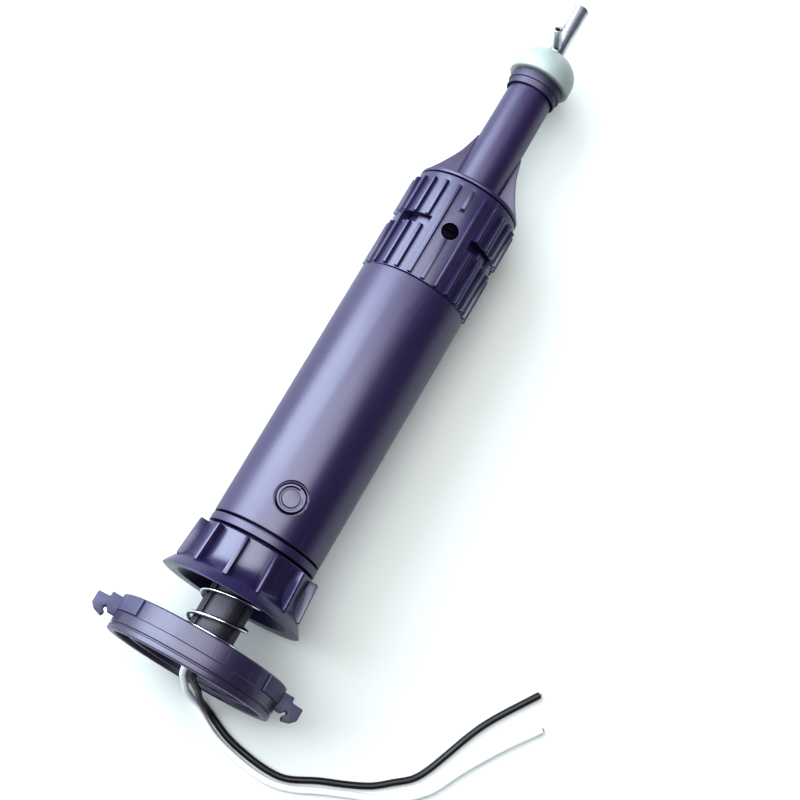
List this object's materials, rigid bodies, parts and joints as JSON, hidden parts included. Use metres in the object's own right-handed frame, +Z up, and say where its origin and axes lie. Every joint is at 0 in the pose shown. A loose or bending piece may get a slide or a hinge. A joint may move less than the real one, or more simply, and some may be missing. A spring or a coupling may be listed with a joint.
{
  "type": "desoldering pump",
  "caption": "Spring-loaded desoldering pump lying on its side, with a thumb cap, ribbed nut and collar, release button, steel suction tube and loose leads.",
  "frame": {"origin": "centre of the pump's footprint box, on the surface it lies on, without its leads", "axes": "+X towards the nozzle, +Y to the left of someone looking along +X, +Z up; the tool's own axis dips 3.2 degrees towards the nozzle"},
  "size_m": [0.2223, 0.1172, 0.0461],
  "materials": {
    "black_plastic": "satin moulded plastic, near black with a purple cast",
    "shaft_plastic": "dull dark plastic, a little rubbed",
    "white_plastic": "slightly translucent white fluoropolymer",
    "ceramic": "unglazed ceramic",
    "rubber": "soft black rubber",
    "steel": "bright drawn steel",
    "black_sheath": "soft black lead sheath",
    "white_sheath": "soft white lead sheath"
  },
  "bodies": {
    "barrel": {"barrel_tube": "black_plastic", "rear_gland": "black_plastic", "gland_seal": "rubber", "suction_spring": "steel", "latch_spring": "steel"},
    "plunger": {"rear_cap": "black_plastic", "lead_bush": "rubber", "lead_white": "white_sheath", "lead_black": "black_sheath", "plunger_shaft": "shaft_plastic", "lead_plug": "rubber", "piston": "white_plastic", "piston_seal": "rubber", "piston_nut": "steel"},
    "button": {"release_button": "black_plastic", "latch_plate": "steel"},
    "nut": {"guard_nut": "black_plastic"},
    "nose": {"grip_collar": "black_plastic", "lock_screw": "steel", "nose_cone": "black_plastic", "nose_seal": "rubber", "neck_ring": "black_plastic", "nozzle_seat": "white_plastic", "heater_sleeve": "ceramic", "suction_tube": "steel", "side_tube": "steel"}
  },
  "joints": [
    {"name": "plunger_slide", "type": "slide", "parent": "barrel", "child": "plunger", "axis": [0.9984, 0, -0.056], "range_m": [0, 0.0105], "stiffness_N_per_m": 250, "springref_m": -0.02, "deforming": ["suction_spring"]},
    {"name": "button_press", "type": "slide", "parent": "barrel", "child": "button", "axis": [-0.056, 0, -0.9984], "range_m": [0, 0.0018], "stiffness_N_per_m": 800, "springref_m": -0.0015, "deforming": ["latch_spring"]},
    {"name": "nut_twist", "type": "hinge", "parent": "barrel", "child": "nut", "pos_m": [-0.06851, 0, 0.02132], "axis": [-0.9984, 0, 0.056], "range_deg": [0, 45]},
    {"name": "nose_twist", "type": "hinge", "parent": "barrel", "child": "nose", "pos_m": [0.00957, 0, 0.01694], "axis": [0.9984, 0, -0.056], "range_deg": [0, 20]}
  ]
}
